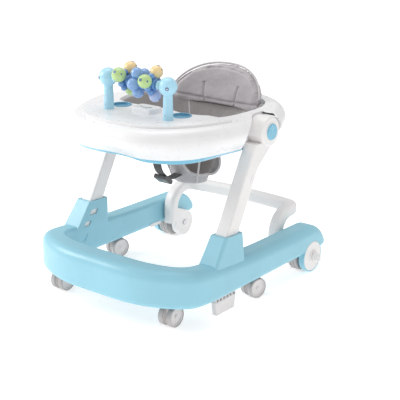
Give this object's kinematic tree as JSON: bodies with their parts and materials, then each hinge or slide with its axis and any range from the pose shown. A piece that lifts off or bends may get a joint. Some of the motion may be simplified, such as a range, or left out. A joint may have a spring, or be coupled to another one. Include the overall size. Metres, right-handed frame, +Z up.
{
  "type": "baby walker",
  "caption": "Folding baby walker: blue U-shaped base on swivel casters, white leaning legs, play tray with toy bar, grey fabric seat and rear bar.",
  "frame": {"origin": "on the floor, in the middle of the walker's footprint", "axes": "+Z up, -Y is the front, +X is the child's left"},
  "size_m": [0.582, 0.6519, 0.6004],
  "materials": {
    "base_blue": "satin moulded plastic",
    "trim_blue": "gloss plastic",
    "post_blue": "gloss plastic",
    "tray_white": "gloss plastic",
    "leg_white": "satin plastic",
    "caster_grey": "satin plastic",
    "tyre_grey": "matt rubber",
    "steel": "plain steel",
    "seat_fabric": "woven polyester",
    "sling_fabric": "dark woven polyester",
    "black_plastic": "matt plastic",
    "webbing": "woven webbing",
    "toy_blue": "gloss plastic",
    "toy_green": "gloss plastic",
    "toy_yellow": "gloss plastic",
    "toy_lilac": "gloss plastic"
  },
  "bodies": {
    "base": {"base_rail": "base_blue", "stop_block_left": "caster_grey", "stop_block_right": "caster_grey", "rail_clips": "leg_white", "rear_axle_left": "steel", "rear_axle_right": "steel", "outer_disc_left": "leg_white", "outer_disc_right": "leg_white"},
    "legs": {"leg_left": "leg_white", "leg_right": "leg_white", "cap_spring_left": "steel", "cap_spring_right": "steel"},
    "tray": {"tray_shell": "tray_white", "tray_trim": "trim_blue", "pivot_pin_left": "steel", "pivot_pin_right": "steel", "play_panel": "tray_white", "dish_left": "trim_blue", "dish_right": "trim_blue", "middle_unit": "tray_white", "toy_post_left": "post_blue", "toy_post_right": "post_blue", "post_screws": "steel", "toy_shaft": "steel", "seat_back": "seat_fabric", "seat_sling": "sling_fabric", "seat_strap": "webbing", "buckle": "black_plastic", "seat_hooks": "tray_white"},
    "push_bar": {"push_bar": "leg_white"},
    "hub_cap_left": {"hub_cap_left": "trim_blue"},
    "height_button_left": {"height_button_left": "leg_white"},
    "lock_knob_left": {"lock_knob_left": "leg_white"},
    "rear_wheel_left": {"rear_wheel_left": "caster_grey", "rear_tyre_left": "tyre_grey"},
    "hub_cap_right": {"hub_cap_right": "trim_blue"},
    "height_button_right": {"height_button_right": "leg_white"},
    "lock_knob_right": {"lock_knob_right": "leg_white"},
    "rear_wheel_right": {"rear_wheel_right": "caster_grey", "rear_tyre_right": "tyre_grey"},
    "caster_front_right": {"caster_fork_front_right": "caster_grey"},
    "caster_wheels_front_right": {"caster_hubs_front_right": "caster_grey", "caster_tyres_front_right": "tyre_grey"},
    "caster_front_left": {"caster_fork_front_left": "caster_grey"},
    "caster_wheels_front_left": {"caster_hubs_front_left": "caster_grey", "caster_tyres_front_left": "tyre_grey"},
    "caster_middle_right": {"caster_fork_middle_right": "caster_grey"},
    "caster_wheels_middle_right": {"caster_hubs_middle_right": "caster_grey", "caster_tyres_middle_right": "tyre_grey"},
    "caster_middle_left": {"caster_fork_middle_left": "caster_grey"},
    "caster_wheels_middle_left": {"caster_hubs_middle_left": "caster_grey", "caster_tyres_middle_left": "tyre_grey"},
    "knob_wheel_left": {"knob_wheel_left": "toy_blue", "knob_green_left": "toy_green", "knob_yellow_left": "toy_yellow", "knob_lilac_left": "toy_lilac"},
    "knob_wheel_right": {"knob_wheel_right": "toy_blue", "knob_green_right": "toy_green", "knob_yellow_right": "toy_yellow"},
    "petal_wheel": {"petal_wheel": "toy_blue"}
  },
  "joints": [
    {"name": "height_slide", "type": "slide", "parent": "base", "child": "legs", "axis": [0, 0.4924, 0.8704], "range_m": [0, 0.06]},
    {"name": "tray_fold", "type": "hinge", "parent": "legs", "child": "tray", "pos_m": [0, 0.055, 0.429], "axis": [1, 0, 0], "range_deg": [-60, 0]},
    {"name": "push_bar_turn", "type": "hinge", "parent": "base", "child": "push_bar", "pos_m": [0, 0.246, 0.045], "axis": [1, 0, 0], "range_deg": [-75, 0]},
    {"name": "hub_cap_press_left", "type": "slide", "parent": "legs", "child": "hub_cap_left", "axis": [-1, 0, 0], "range_m": [0, 0.003], "stiffness_N_per_m": 400, "springref_m": -0.002},
    {"name": "height_button_press_left", "type": "slide", "parent": "legs", "child": "height_button_left", "axis": [-1, 0, 0], "range_m": [0, 0.002], "stiffness_N_per_m": 300, "springref_m": -0.002},
    {"name": "lock_knob_turn_left", "type": "hinge", "parent": "base", "child": "lock_knob_left", "pos_m": [0.27, 0.246, 0.045], "axis": [1, 0, 0], "range_deg": [0, 90]},
    {"name": "rear_wheel_spin_left", "type": "hinge", "parent": "base", "child": "rear_wheel_left", "pos_m": [0.227, 0.246, 0.045], "axis": [1, 0, 0], "continuous": true},
    {"name": "hub_cap_press_right", "type": "slide", "parent": "legs", "child": "hub_cap_right", "axis": [1, 0, 0], "range_m": [0, 0.003], "stiffness_N_per_m": 400, "springref_m": -0.002},
    {"name": "height_button_press_right", "type": "slide", "parent": "legs", "child": "height_button_right", "axis": [1, 0, 0], "range_m": [0, 0.002], "stiffness_N_per_m": 300, "springref_m": -0.002},
    {"name": "lock_knob_turn_right", "type": "hinge", "parent": "base", "child": "lock_knob_right", "pos_m": [-0.27, 0.246, 0.045], "axis": [-1, 0, 0], "range_deg": [0, 90]},
    {"name": "rear_wheel_spin_right", "type": "hinge", "parent": "base", "child": "rear_wheel_right", "pos_m": [-0.227, 0.246, 0.045], "axis": [1, 0, 0], "continuous": true},
    {"name": "caster_swivel_front_right", "type": "hinge", "parent": "base", "child": "caster_front_right", "pos_m": [-0.182, -0.258, 0.06], "axis": [0, 0, 1], "continuous": true},
    {"name": "caster_spin_front_right", "type": "hinge", "parent": "caster_front_right", "child": "caster_wheels_front_right", "pos_m": [-0.182, -0.255, 0.027], "axis": [1, 0, 0], "continuous": true},
    {"name": "caster_swivel_front_left", "type": "hinge", "parent": "base", "child": "caster_front_left", "pos_m": [0.182, -0.258, 0.06], "axis": [0, 0, 1], "continuous": true},
    {"name": "caster_spin_front_left", "type": "hinge", "parent": "caster_front_left", "child": "caster_wheels_front_left", "pos_m": [0.182, -0.255, 0.027], "axis": [1, 0, 0], "continuous": true},
    {"name": "caster_swivel_middle_right", "type": "hinge", "parent": "base", "child": "caster_middle_right", "pos_m": [-0.235, 0.009, 0.06], "axis": [0, 0, 1], "continuous": true},
    {"name": "caster_spin_middle_right", "type": "hinge", "parent": "caster_middle_right", "child": "caster_wheels_middle_right", "pos_m": [-0.23433, 0.01192, 0.027], "axis": [0.9744, -0.225, 0], "continuous": true},
    {"name": "caster_swivel_middle_left", "type": "hinge", "parent": "base", "child": "caster_middle_left", "pos_m": [0.235, 0.009, 0.06], "axis": [0, 0, 1], "continuous": true},
    {"name": "caster_spin_middle_left", "type": "hinge", "parent": "caster_middle_left", "child": "caster_wheels_middle_left", "pos_m": [0.23567, 0.01192, 0.027], "axis": [0.9744, -0.225, 0], "continuous": true},
    {"name": "knob_wheel_left_spin", "type": "hinge", "parent": "tray", "child": "knob_wheel_left", "pos_m": [0, -0.155, 0.557], "axis": [1, 0, 0], "continuous": true},
    {"name": "knob_wheel_right_spin", "type": "hinge", "parent": "tray", "child": "knob_wheel_right", "pos_m": [0, -0.155, 0.557], "axis": [1, 0, 0], "continuous": true},
    {"name": "petal_wheel_spin", "type": "hinge", "parent": "tray", "child": "petal_wheel", "pos_m": [0, -0.155, 0.557], "axis": [1, 0, 0], "continuous": true}
  ]
}
